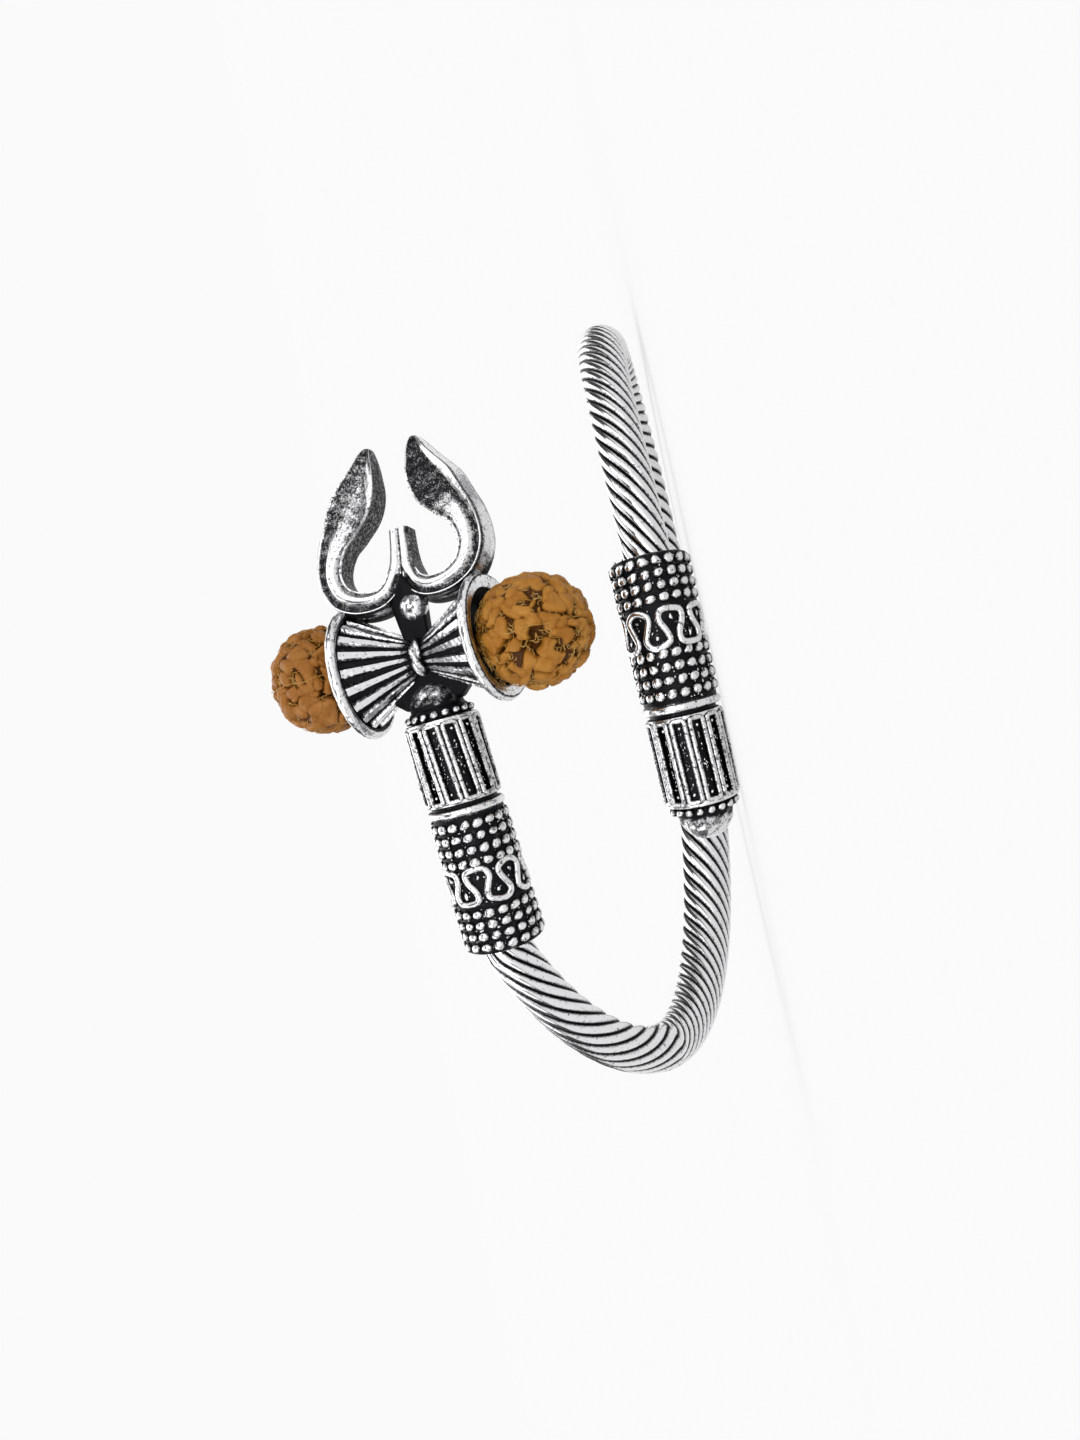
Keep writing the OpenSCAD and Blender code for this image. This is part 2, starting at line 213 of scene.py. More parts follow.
def silver(name, bright, dark, rough, speckle, soft, grime, dents):
    """Tarnished silver. The tone attribute, which holds rubbing and in places painted shade and painted
    highlights, and two noises add up to a level. Where it passes the value that a middle tone has under
    average noise, the dark tarnish gives way to bright metal, so painted shade shows as tarnish and
    painted highlights as bright metal. A third noise leaves small dark pits there, fewer where the tone
    is high. The first noise and the tarnish itself are also its dents, which are half as strong where
    the tone is highest."""
    material, tree, place, tone_and_painted_light = tone_material(name)
    cloud = noise(tree, place, 1100, 2)
    grain = noise(tree, place, 7500, 2)
    pitted = noise(tree, place, 3000, 4, 0.65)
    cloud_share = 0.18
    # The level carries rubbing and, in places, painted shade and painted highlights.
    level = multiply_add(tree, cloud, cloud_share * speckle, tone_and_painted_light)
    level = multiply_add(tree, grain, speckle, level)
    half = 0.5 + speckle * (1 + cloud_share) / 2
    bright_share = ramp(tree, level, half - soft, half + soft, rise="SMOOTHSTEP")
    clean = multiply_add(tree, tone_and_painted_light, 0.15, pitted)
    outside_pits = ramp(tree, clean, grime, grime + 0.11, low=0.12)
    mask = node(tree, "Math", {0: bright_share, 1: outside_pits}, operation="MULTIPLY").outputs[0]
    colour = mixed(tree, mask, (*dark, 1), (*bright, 1))
    dull = ramp(tree, mask, 0, 1, 0.5, rough)
    height = multiply_add(tree, mask, 0.05, cloud)
    dented = ramp(tree, tone_and_painted_light, 0.3, 0.9, dents, 0.5 * dents)
    bump = node(tree, "Bump", {"Height": height, "Strength": dented, "Distance": 0.0003}).outputs[0]
    shader = node(tree, "BsdfPrincipled", {"Base Color": colour, "Roughness": dull, "Metallic": 1.0,
                                           "Normal": bump})
    node(tree, "OutputMaterial", {"Surface": shader.outputs[0]})
    return material


bright_silver = silver("bright_silver", bright=(0.78, 0.78, 0.79), dark=(0.018, 0.018, 0.02), rough=0.15,
                       speckle=0.5, soft=0.2, grime=0.42, dents=0.15)
strands = 11
strand_r = 0.6
strand_half = 0.53
crest_inset = 0.055
lay_length = 19
steps_a_strand = 14
rod_rows = 331


def laid_strands():
    """The rod's surface along the route. Round it runs one arc a strand, which sinks below its crest as
    a circle of the strand's radius does, and the arcs turn left-handed once in a lay length. Its tone is
    brightest on the crests, which are polished by rubbing, and darkest in the grooves, which hold
    tarnish; the darkening down the strands' flanks between them is painted shade."""
    s = np.linspace(sleeve_len - socket_depth, loop_len - sleeve_len + socket_depth, rod_rows)[:, None]
    turn = np.arange(strands * steps_a_strand) / steps_a_strand
    off_crest = 2 * (turn % 1) - 1
    sink = strand_r - np.sqrt(strand_r ** 2 - (off_crest * strand_half) ** 2)
    angle = (2 * np.pi * ((turn - 0.5) / strands - s / lay_length))[..., None]
    up, side = across(tangent(s))
    r = (rod_r - crest_inset - sink)[:, None]
    # Tone falls from each crest to its groove: polish on the crest, tarnish in the groove, painted shade
    # over the flank.
    return skin(route(s) + r * (up * np.cos(angle) + side * np.sin(angle)), 1 - (sink / sink.max()) ** 0.65)


rod = solid("cable_rod_strands", [laid_strands()], bright_silver, sharp=70)
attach(rod, "root")
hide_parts("cable_rod")

# The two sleeves: silver castings that are glued over the rod's ends, oxidised black and then rubbed
# bright on their relief. From its dome end a sleeve has a row of small beads, framed slots, a groove, a
# smooth ring, four rows of beads, a wire in overhanging waves, and four more rows.
oxidised_silver = silver("oxidised_silver", bright=(0.77, 0.77, 0.78), dark=(0.011, 0.011, 0.012),
                         rough=0.2, speckle=1.1, soft=0.34, grime=0.48, dents=0.16)
dome_end_r = 3.3
rod_end_r = 3.6
socket_r = rod_r + 0.08
dome_r = 2.55
dome_from = -0.65
trident_sleeve_len = 22.5
end_gap = 0.41
row_beads = 18
row_places = np.concatenate([10.8 + 1.2 * np.arange(4), 19.35 + 1.1 * np.arange(4)])
wave_mid = 16.65
waves = 7
wave_crumbs = 160
row_crumbs = 260
slots = 12
slot_mid = 4.65
slot_crumbs = 26
crumb_grid = 4, 7


def ground_r(q):
    """The radius of a sleeve's ground, which widens evenly from its dome end to its rod end."""
    return dome_end_r + (rod_end_r - dome_end_r) * np.clip(q, 0, sleeve_len) / sleeve_len


def on_sleeve(q, angle, r, domed):
    """A place on a sleeve: q along it from its dome end, negative on the dome, an angle round the
    centreline from the top, and the distance r from the centreline. The trident sleeve's zones are
    closer together."""
    along = np.maximum(q, 0)
    s = along if domed else loop_len - end_gap - along * (trident_sleeve_len - end_gap) / sleeve_len
    inward = tangent(s) if domed else -tangent(s)
    up, side = across(inward)
    axis = route(s) - inward * np.maximum(-q, 0)[..., None]
    return axis + r[..., None] * (up * np.cos(angle)[..., None] + side * np.sin(angle)[..., None])


def wire(q, around, half, lift, bright_share, domed, sides=12):
    """A raised wire along a closed path on a sleeve, whose points lie at q along it and at a length
    around its ground. The wire's section is a circle whose middle stands at height lift over the path.
    It is bright where it stands highest, polished by rubbing, and darker down its flanks: painted shade."""
    path = together(q, around)
    ahead = unit(np.roll(path, -1, -2) - np.roll(path, 1, -2))
    phase = circle(sides)
    q = q[..., None] + half * ahead[..., 1:] * np.cos(phase)
    around = around[..., None] - half * ahead[..., :1] * np.cos(phase)
    high = lift + half * np.sin(phase)
    # Bright on the polished top, darker down the flanks: the flank darkening is painted shade.
    tone_and_painted_light = 0.95 * ease(bright_share + 0.5 * np.sin(phase))
    return skin(on_sleeve(q, around / ground_r(q), ground_r(q) + high, domed), tone_and_painted_light, round_rows=True)


def round_grid(pole, rows, columns):
    """A column of latitudes, which stop at the pole angle short of both poles, and longitudes all
    round."""
    lat = np.linspace(pole, np.pi - pole, rows)[:, None]
    return lat, np.linspace(0, 2 * np.pi, columns, endpoint=False)


def beads(q, angle, domed, rng, halves, ground, uneven=0.06, grid=(7, 10)):
    """Oval beads half sunk in a sleeve: ellipsoids on grids of latitude and longitude. The halves are
    their half sizes along the sleeve, round it and outwards, and their middles lie at the distance
    ground from the centreline. Each bead has its own small change of size, place and lean, and a wave
    in its outline."""
    half_q, half_around, half_high = halves
    size = 1 + uneven * rng.standard_normal((4, len(q), 1, 1))
    lat, lon = round_grid(0.12, *grid)
    wavy = 1 + 0.9 * (size[3] - 1) * np.sin(3 * lon + 40 * size[0])
    x = half_around * size[0] * wavy * np.sin(lat) * np.cos(lon)
    y = half_q * size[1] * wavy * np.sin(lat) * np.sin(lon)
    lift = half_high * np.minimum(size[2], 1) * np.cos(lat)
    lean = 0.12 + 1.5 * (size[3] - 1)
    q = q[:, None, None] + y + lean * x + 0.4 * half_q * (size[2] - 1)
    angle = angle[:, None, None] + (x + 0.4 * half_around * (size[1] - 1)) / ground
    # Bright on the polished top and black at the foot in the oxide; the darkening over the flanks between
    # is painted shade.
    return skin(on_sleeve(q, angle, ground + lift, domed), 0.95 * ease(1.15 * np.cos(lat) - 0.19))


def sleeve_ground(domed):
    """The sleeve's body as a turned profile of (q, radius, tone) rows, from the dome to the socket,
    carried along the centreline. Sums of waves round and along it make its height and its tone uneven,
    most of all on the dome. The trident sleeve's dome, under the drum, is darker: painted shade."""
    tilt = np.linspace(0.06, np.pi / 2, 14)
    half_turn = np.linspace(0, np.pi, 9)
    row_zone = np.linspace(10.05, 23.1, 60)
    # The trident sleeve's dome lies under the drum, and its darker tone is painted shade.
    dome_tone_and_shade = 0.92 if domed else 0.65
    dome = together(dome_from - dome_r * np.cos(tilt), dome_r * np.sin(tilt), dome_tone_and_shade - 0.12 * tilt ** 4)
    neck = [(-0.6, 2.62, 0.1), (-0.5, 2.75, 0.0), (0.4, 2.8, 0.0), (0.46, 3.3, 0.3), (0.55, 3.48, 0.8),
            (0.75, 3.5, 0.95), (0.95, 3.46, 0.7), (1.03, 3.3, 0.3), (1.1, 3.14, 0.0)]
    slot_bed = together(np.linspace(1.4, 7.9, 14), 3.13, 0.0)
    ridge = [(8.2, 3.15, 0.0), (8.27, 3.35, 0.3), (8.35, 3.5, 0.8), (8.5, 3.53, 0.95), (8.64, 3.5, 0.9),
             (8.74, 3.4, 0.3)]
    groove = [(8.8, 3.15, 0.0), (9.12, 3.15, 0.0)]
    ring_high = np.sin(half_turn)
    ring = together(9.5 - 0.38 * np.cos(half_turn), 3.42 + 0.3 * ring_high, 0.3 + 0.7 * ring_high)
    row_bed = together(row_zone, ground_r(row_zone), 0.0)
    rim = [(sleeve_len - 0.1, rod_end_r - 0.05, 0.2), (sleeve_len, rod_end_r - 0.25, 0.4),
           (sleeve_len, 2.5, 0.3)]
    socket_end = sleeve_len - socket_depth - 0.1
    socket = together([sleeve_len - 0.1, sleeve_len - 4, sleeve_len - 8, socket_end], socket_r, 0.0)
    profile = np.concatenate([dome, neck, slot_bed, ridge, groove, ring, row_bed, rim, socket])
    q, r, tone_and_painted_light = profile.T[..., None]
    angle = circle(144)
    on_dome = q < dome_from
    lumps = np.sin(5 * angle + 3 * q) * np.sin(4 * q - 3 * angle + 1) + 0.6 * np.sin(11 * angle - 7 * q)
    r = r + np.where(on_dome, 0.04, 0.018) * lumps
    return skin(on_sleeve(q, angle, r, domed), tone_and_painted_light + np.where(on_dome, 0.24, 0.12) * lumps)


def sleeve_slots(domed, rng):
    """The twelve slots: a round-cornered frame of wire, a dot near each of its ends, and a line of
    crumbs along its middle. The frame's path is a circle whose quarters are moved out to the corners of
    a rectangle, with straight points between them along the two long sides."""
    corner_r, half_len, half_wide, shake = 0.3, 3.72, 0.62, 0.008
    quarter = 12
    turn = 2 * np.pi * (np.arange(4 * quarter) + 0.5) / (4 * quarter)
    q = np.sign(np.cos(turn)) * (half_len - corner_r) + corner_r * np.cos(turn)
    side = np.sign(np.sin(turn)) * (half_wide - corner_r) + corner_r * np.sin(turn)
    straight = np.linspace(-half_len + corner_r, half_len - corner_r, 14)[1:-1]
    edge = np.full(len(straight), half_wide)
    q_corners, side_corners = [np.split(part, [quarter, 3 * quarter]) for part in (q, side)]
    q = slot_mid + np.concatenate([q_corners[0], -straight, q_corners[1], straight, q_corners[2]])
    side = np.concatenate([side_corners[0], edge, side_corners[1], -edge, side_corners[2]])
    middle = 2 * np.pi * (np.arange(slots) + 0.583) / slots
    frames = []
    for slot_angle in middle:
        around = slot_angle * ground_r(slot_mid) + side + shake * rng.standard_normal(len(side))
        frames.append(wire(q, around, half=0.25, lift=0.05, bright_share=0.22, domed=domed))
    dot_q = np.repeat([1.6, 7.7], slots)
    dots = beads(dot_q, np.tile(middle, 2), domed, rng, halves=(0.2, 0.2, 0.22), ground=3.2)
    crumb_q = rng.uniform(2.1, 7.2, slot_crumbs * slots)
    crumb_angle = np.tile(middle, slot_crumbs) + 0.035 * rng.standard_normal(slot_crumbs * slots)
    crumbs = beads(crumb_q, crumb_angle, domed, rng, halves=(0.14, 0.08, 0.13), ground=3.14,
                   uneven=0.3, grid=crumb_grid)
    return frames + [dots, crumbs]


def sleeve_wave(domed):
    """The wave's path: q swings once a wave, and twice a wave the path swings back on itself round the
    sleeve."""
    t = np.linspace(0, 2 * np.pi * waves, 56 * waves, endpoint=False)
    q = wave_mid + 1.68 * np.cos(t) + 0.05 * np.sin(5.3 * t)
    around = (t / waves + 0.19 * np.sin(2 * t)) * ground_r(wave_mid)
    return wire(q, around, half=0.33, lift=0.06, bright_share=0.38, domed=domed)


def sleeve_skins(domed, rng):
    """All the surfaces of one sleeve: ground, wave, eight rows of beads, the row at the neck, a dot in
    each bend of the wave, crumbs round the wave and between the rows, and the slots."""
    bead_angle = circle(row_beads)
    q, angle = np.repeat(row_places, row_beads), np.tile(bead_angle, len(row_places))
    rows = beads(q, angle, domed, rng, halves=(0.51, 0.6, 0.38), ground=ground_r(q)[:, None, None])
    neck = beads(np.zeros(row_beads), bead_angle, domed, rng, halves=(0.4, 0.44, 0.42), ground=2.95)
    dot_t = np.pi * np.arange(2 * waves)
    dot_q = wave_mid + 0.8 * np.cos(dot_t)
    dots = beads(dot_q, dot_t / waves, domed, rng, halves=(0.28, 0.24, 0.24), ground=3.5, uneven=0.25)
    crumb_q = wave_mid + rng.uniform(-1.9, 1.9, wave_crumbs)
    crumb_angle = rng.uniform(0, 2 * np.pi, wave_crumbs)
    crumbs = beads(crumb_q, crumb_angle, domed, rng, halves=(0.1, 0.1, 0.1), ground=3.5, uneven=0.3,
                   grid=crumb_grid)
    spot_q = rng.choice(row_places, row_crumbs) + rng.uniform(-0.75, 0.75, row_crumbs)
    spot_angle = rng.uniform(0, 2 * np.pi, row_crumbs)
    spots = beads(spot_q, spot_angle, domed, rng, halves=(0.13, 0.11, 0.12), ground=3.53, uneven=0.35,
                  grid=crumb_grid)
    return [sleeve_ground(domed), sleeve_wave(domed), rows, neck, dots, crumbs, spots,
            *sleeve_slots(domed, rng)]


for sleeve, domed, number in (("domed_sleeve", True, 3), ("trident_sleeve", False, 8)):
    sleeve_surfaces = sleeve_skins(domed, np.random.default_rng(number))
    casting = solid(f"{sleeve}_casting", sleeve_surfaces, oxidised_silver)
    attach(casting, "root")
    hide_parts(sleeve)

# The hourglass drum: two cones waist to waist, soldered crosswise on the trident sleeve's dome. Each cone
# has wedge ribs, a rolled lip and a cup for a bead. A short bundle of twisted wires binds the waist, a
# ball sits above it, and plates in the drum's plane join them with the dome and the trident.
lower_half = 7.9
upper_half = 7.3
lower_cup_floor = 5.9
upper_cup_floor = 5.05
rim_r = 6.15
lip_r = 0.55
cone_end_r = rim_r - 1.15
waist_r = 1.3
ribs = 18
waist_out = 5.13
drum_turn = np.radians(25.4)
end = np.array(loop_len)
head_y = tangent(end)
head_down = -across(head_y)[0]
head_x = head_down * np.cos(drum_turn) + np.cross(head_down, head_y) * np.sin(drum_turn)
head_axes = np.stack([head_x, head_y, np.cross(head_x, head_y)])
head_origin = route(end) + waist_out * head_y


def at_head(points):
    """Places from the head's own frame: x along the drum to the lower bead, y away from the sleeve, and
    z away from the wrist."""
    return head_origin + points @ head_axes


def turned(x, r, angle, side):
    """Places round the drum's axis: x out from the waist on one side, r from the axis, at an angle
    from y."""
    return at_head(together(side * x, r * np.cos(angle), r * np.sin(angle)))


def drum_cone(side, half, cup_floor):
    """Half the drum as a turned profile of (x, radius, tone, rib) rows. The ribs are a flat-topped wave
    round the cone with steep flanks, and grow from the waist to the lip. The lip is an arc with a dark
    line on its front, then come a thin inner ridge and the cup's wall and floor. Sums of waves roughen
    all of it."""
    rib_share, flank_share, rib_shift, rib_height, valley_depth = 0.62, 0.2, 0.225, 1.25, 0.2
    steps_a_rib = 15
    long = half - lip_r
    run = np.linspace(0, 1, 60)
    cone = together((long - 0.1) * run, waist_r + (cone_end_r - waist_r) * run, 0, 0.12 + 0.36 * run)
    turn = np.linspace(-2.0, 2.3, 28)
    # The lip is darker along a line on its front and on its underside towards the cone.
    lip_tone = 1 - 0.9 * np.exp(-((turn - 1.1) / 0.2) ** 2) - ease((-1.35 - turn) / 0.4)
    lip = together(long + lip_r * np.sin(turn), rim_r - lip_r + lip_r * np.cos(turn), lip_tone, 0)
    ridge = [(long + 0.4, rim_r - 1.12, 0.9, 0), (long + 0.4, rim_r - 1.3, 0.9, 0),
             (long + 0.34, rim_r - 1.42, 0.8, 0), (long + 0.2, rim_r - 1.5, 0, 0)]
    down = np.linspace(0.08, 1, 8)
    cup = together(long - (long - cup_floor) * down, cone_end_r - 1.4 * down, 0, 0)
    cup_middle = [(cup_floor, 0.4, 0, 0)]
    x, r, tone_and_painted_light, rib = np.concatenate([cone, lip, ridge, cup, cup_middle]).T[..., None]
    angle = circle(ribs * steps_a_rib)
    phase = angle * ribs / (2 * np.pi) + 0.015 * np.sin(2.7 * x + 5 * angle)
    phase = phase + 0.012 * np.sin(11 * x - 3 * angle)
    off_rib = np.abs((phase + rib_shift) % 1 - 0.5) * 2
    top = ease((rib_share - off_rib) / flank_share)
    rough = np.sin(9 * angle + 5 * x) + np.sin(23 * angle - 9 * x + 1) + np.sin(41 * angle + 3 * x)
    faded = rib * ease((long - 0.3 - x) / 0.2)
    r = r + faded * (rib_height * top - valley_depth) + np.where(rib > 0, 0.007, 0.012) * rough
    bright = np.where(rib > 0, 1.05 * top * ease(faded / 0.1) * ease(x / 1.6 - 0.2), tone_and_painted_light)
    return skin(turned(x, r, angle, side), bright + 0.05 * rough)


def binding():
    """Part of a ring of wires round the waist, laid up like rope: three tubes wind round one arc about
    its front, nearly once in all, and narrow at both ends."""
    count, wire_r, span, winds = 3, 0.33, 2.6, 0.8
    arc_r = waist_r + 0.35
    t = np.linspace(-0.5, 0.5, 60)[:, None]
    phase = 2 * np.pi * (np.arange(count)[:, None, None] / count + winds * t)
    side = circle(10)
    narrow = np.sqrt(1 - (1.9 * t) ** 2)
    r = arc_r + narrow * wire_r * (np.cos(phase) + 1.05 * np.cos(side))
    along = narrow * wire_r * (np.sin(phase) + 1.05 * np.sin(side))
    bright_share = ease(0.2 + 0.75 * (r - arc_r) / wire_r / 1.6)
    return skin(turned(along, r, np.pi / 2 + span * t, 1), bright_share)


def ball(centre, r):
    """A round ball on latitude and longitude, dented by a sum of waves, with dark spots where another
    dips."""
    lat, lon = round_grid(0.05, 28, 48)
    dents = 0.02 * np.sin(3 * lon + 4 * lat) * np.sin(5 * lat)
    dented = r * (0.97 + dents + 0.015 * np.sin(7 * lon - 3 * lat))
    way = together(np.sin(lat) * np.cos(lon), np.cos(lat), np.sin(lat) * np.sin(lon))
    tone_and_painted_light = 0.72 + 0.35 * np.sin(4 * lon + 3 * lat) * np.sin(5 * lat - 2 * lon + 2)
    return skin(at_head(np.array(centre) + dented[..., None] * way), tone_and_painted_light)


def plate(x, low, high, front, back):
    """A dark plate in the drum's plane whose edges are the curves low and high over x, with a rounded
    section from its front face to its back. It is dark throughout: oxide on the web, and painted shade on
    the foot plate below the waist."""
    phase = circle(20)
    soft = np.sign(np.cos(phase)) * np.abs(np.cos(phase)) ** 0.4
    y = (low + high)[:, None] / 2 + (high - low)[:, None] / 2 * soft
    deep = np.abs(np.sin(phase)) ** 0.6
    z = np.where(np.sin(phase) > 0, (front + 0 * x)[:, None] * deep, back * deep)
    # Dark throughout: oxide on the web, painted shade on the foot plate below the waist.
    return skin(at_head(together(x[:, None], y, z)), -0.3)


web_x = np.linspace(-6.3, 6.3, 127)
web_low = np.interp(np.abs(web_x), [0, 1.2, 1.7, 4.1, 6.4], [1, 1, 5.25, 4.8, 5.3])
web_high = np.interp(np.abs(web_x), [0, 1.4, 6.2, 6.4], [8, 6, 6, 5.6])
web_front = np.interp(np.abs(web_x), [1.2, 2.2], [0.6, 0.1])
foot_x = np.linspace(-4, 4, 41)
foot_low = np.interp(np.abs(foot_x), [0, 2.9, 4], [-4.6, -4.6, -3.6])
foot_high = np.interp(np.abs(foot_x), [0, 1, 4], [-0.5, -0.5, -3.3])
plate_back = -0.8
drum = solid("drum_casting", [
    drum_cone(1, lower_half, lower_cup_floor),
    drum_cone(-1, upper_half, upper_cup_floor),
    binding(),
    ball(centre=(0.5, 4.65, 0.1), r=1.4),
    plate(web_x, web_low, web_high, web_front, plate_back),
    plate(foot_x, foot_low, foot_high, 0.7, plate_back),
], oxidised_silver, sharp=40)
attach(drum, "root")
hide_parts("trident_sleeve")

# The trident: one thick casting in two mirrored halves, each a bar that starts at the split stub, runs
# round a lobe and ends in a flame blade. The bars have a bright round ridge between dark flanks, and the
# blades are hollowed and dark inside bright edges. The whole leans back over the wrist.
full_half_t = 1.5
flank_depth = 0.6
wall_foot = 0.12
lean = np.radians(20)
lean_from = 5
stand_out = 1.35
# Across, up, half width, half thickness, share of blade
bar = np.array([
    [0.48, 12.45, 0.48, 1.125, 0],
    [0.55, 10.2, 0.53, 1.2, 0],
    [0.68, 8.6, 0.66, 1.35, 0],
    [1.2, 7.0, 0.85, full_half_t, 0],
    [2.2, 6.2, 0.9, full_half_t, 0],
    [3.6, 6.0, 0.95, full_half_t, 0],
    [5.2, 6.35, 1.05, full_half_t, 0],
    [6.6, 7.3, 1.15, full_half_t, 0],
    [7.35, 8.9, 1.2, full_half_t, 0],
    [7.3, 10.6, 1.27, full_half_t, 0.1],
    [6.63, 12.4, 1.47, full_half_t, 0.4],
    [5.52, 13.9, 1.87, full_half_t, 0.75],
    [4.4, 15.5, 2.15, full_half_t, 1],
    [3.55, 17.1, 1.85, full_half_t, 1],
    [2.92, 18.9, 1.15, 1.2, 1],
    [2.6, 20.3, 0.6, 0.95, 1],
    [2.46, 20.95, 0.3, 0.7, 1],
    [2.43, 21.15, 0.06, 0.45, 1],
])


def smooth_rows(table, t):
    """A table's rows as Catmull-Rom curves over the row number t."""
    i = np.clip(t.astype(int), 0, len(table) - 2)
    u = (t - i)[:, None]
    a, b, c, d = [table[np.clip(i + k, 0, len(table) - 1)] for k in (-1, 0, 1, 2)]
    return b + u / 2 * (c - a + u * (2 * a - 5 * b + 4 * c - d + u * (3 * (b - c) + d - a)))


def bar_front(w, across_at, up_at, half, blade, side):
    """The front of a bar over w, from -1 at its inner edge to 1 at its outer, as its height and its
    tone. It is a low flank with a rim at each edge and a round ridge, or on the blade a hollow with
    bright edges. The halves are mirror images, and where their blades differ it is painted light: the
    right blade's broad bright outer band and the left blade's inner edge, wider near its tip, are
    painted highlights, the left blade's dim outer edge is painted shade, and the left blade's lighter
    hollow with a paler middle is painted light. A product and a sum of waves make it uneven."""
    stub = (1 - blade) * ease((0.85 - half) / 0.25)
    ridge_at = -0.2 + 0.3 * stub
    ridge = np.exp(-(np.abs(w - ridge_at) / (0.5 + 0.3 * stub)) ** 4)
    inner_rim = ease((-w - 0.78) / 0.12) * (1 - stub)
    outer_rim = ease((w - 0.8) / 0.12) * (1 - stub)
    bar_height = 0.5 * ridge + 0.16 * inner_rim + 0.14 * outer_rim
    height = (1 - blade) * bar_height + blade * (0.42 * w ** 2 + 0.16)
    bar_worn = (1 - blade) * np.maximum(ridge, 0.85 * np.maximum(inner_rim, outer_rim))
    tip = ease((up_at - 15.5) / 3)
    # Painted light on the mirrored blades: the right blade's broad bright outer band and the left blade's
    # inner edge widening near its tip are painted highlights; the left blade's dim outer edge is painted
    # shade.
    outer_edge = ease((w - 0.6) / 0.12) if side > 0 else 0.3 * ease((w - 0.9) / 0.06)
    inner_from = 0.86 if side > 0 else 0.82 - 0.5 * tip
    edge = np.maximum(outer_edge, ease((-w - inner_from) / 0.1) * (0.4 + 0.6 * tip))
    # The left blade's hollow is lighter, most in its middle: painted light.
    middle = np.exp(-((w + 0.1) / 0.55) ** 2 - ((up_at - 15.5) / 2.8) ** 2)
    hollow = 0 if side > 0 else 0.07 + 0.24 * middle
    wave = np.sin(3.1 * up_at + 5 * w) * np.sin(2.3 * across_at - 4 * w) + np.sin(7 * up_at + 2 * across_at)
    tone_and_painted_light = 0.24 + hollow * blade + 0.95 * np.maximum(bar_worn, blade * edge) + 0.06 * wave
    return height * np.minimum(1, 0.3 + half) + 0.006 * wave, tone_and_painted_light


def trident_half(side):
    """The bar's section swept along its stations: its front, an outer wall that slopes out to a flat
    back, and an inner wall that stands square to it. The outer wall is polished bright by rubbing, but
    its foot stays dark where the bar runs low, and along the left blade all of it is darker: painted
    shade."""
    stations = np.linspace(0, len(bar) - 1, 220)
    across_at, up_at, half, thick, blade = smooth_rows(bar, stations).T[..., None]
    half, blade = np.maximum(half, 0.05), np.clip(blade, 0, 1)
    ahead = unit(np.gradient(np.concatenate([across_at, up_at], -1), axis=0))
    w = np.linspace(-1, 1, 45)
    height, front_wear_and_light = bar_front(w, across_at, up_at, half, blade, side)
    front_z = thick - flank_depth + height
    wide = half + np.minimum(0.3, half / 3)
    wall = np.array([0.1, 0.35, 0.7, 1])
    outer_x = half + (wide - half) * wall
    outer_z = front_z[:, -1:] + (-thick + wall_foot - front_z[:, -1:]) * wall
    inner_z = front_z[:, :1] + (-thick + wall_foot - front_z[:, :1]) * wall
    back = np.linspace(0, 1, 9)
    back_x = wide - 0.08 - (wide + half - 0.16) * back
    x = np.concatenate([w * half, outer_x, back_x, -half + 0 * wall], 1)
    z = np.concatenate([front_z, outer_z, -thick + 0 * back_x, inner_z[:, ::-1]], 1)
    below = ease((9 - up_at) / 2) * ease((across_at - 0.5) / 1.5)
    outer_wear_and_shade = np.array([0.1, 0.95, 0.95, 0.8]) - below * np.array([0, 0.1, 0.8, 1.2])
    # Along the left blade the mirrored outer wall is darker: painted shade.
    if side < 0:
        outer_wear_and_shade = outer_wear_and_shade * (1 - 0.6 * blade)
    tone_and_painted_light = np.concatenate([front_wear_and_light, outer_wear_and_shade, 0.6 + 0 * back_x, 0.3 + 0 * outer_x], 1)
    sideways = side * (across_at + ahead[:, 1:] * x)
    up = up_at - ahead[:, :1] * x - lean_from
    out = z + stand_out - full_half_t
    leaned_up = lean_from + up * np.cos(lean) + out * np.sin(lean)
    leaned_out = out * np.cos(lean) - up * np.sin(lean)
    return skin(at_head(together(sideways, leaned_up, leaned_out)), tone_and_painted_light)


trident = solid("trident_casting", [trident_half(1), trident_half(-1)], oxidised_silver, sharp=45)
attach(trident, "root")
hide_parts("trident_sleeve")

# The two seed beads: dried rudraksha stones, drilled and held in the drum's cups. Their faces are domed
# irregular lumps with deep pits between them, and pale fibres lie in the pits, along the seams from pole
# to pole and round the cup's edge.
lumps = 210
pit_fibres = 420
rim_fibres = 120
seams = 5


def seed_material(name, lump, pale, pit):
    """Dry seed: the tone attribute turns the dark pit colour into the lump's, noise clouds it with a
    paler one, and the surface is slightly waxy with a fine fibrous bump."""
    material, tree, place, tone_and_painted_light = tone_material(name)
    cloud = noise(tree, place, 650, 4)
    grain = noise(tree, place, 3800, 3)
    face = mixed(tree, ramp(tree, cloud, 0.4, 0.7), (*lump, 1), (*pale, 1))
    level = multiply_add(tree, grain, 0.3, tone_and_painted_light)
    mask = ramp(tree, level, 0.35, 0.95, rise="SMOOTHSTEP")
    colour = mixed(tree, mask, (*pit, 1), face)
    dull = ramp(tree, cloud, 0, 1, 0.26, 0.58)
    bump = node(tree, "Bump", {"Height": grain, "Strength": 0.4, "Distance": 0.00008}).outputs[0]
    shader = node(tree, "BsdfPrincipled", {"Base Color": colour, "Roughness": dull,
                                           "Specular IOR Level": 0.15, "Normal": bump})
    node(tree, "OutputMaterial", {"Surface": shader.outputs[0]})
    return material


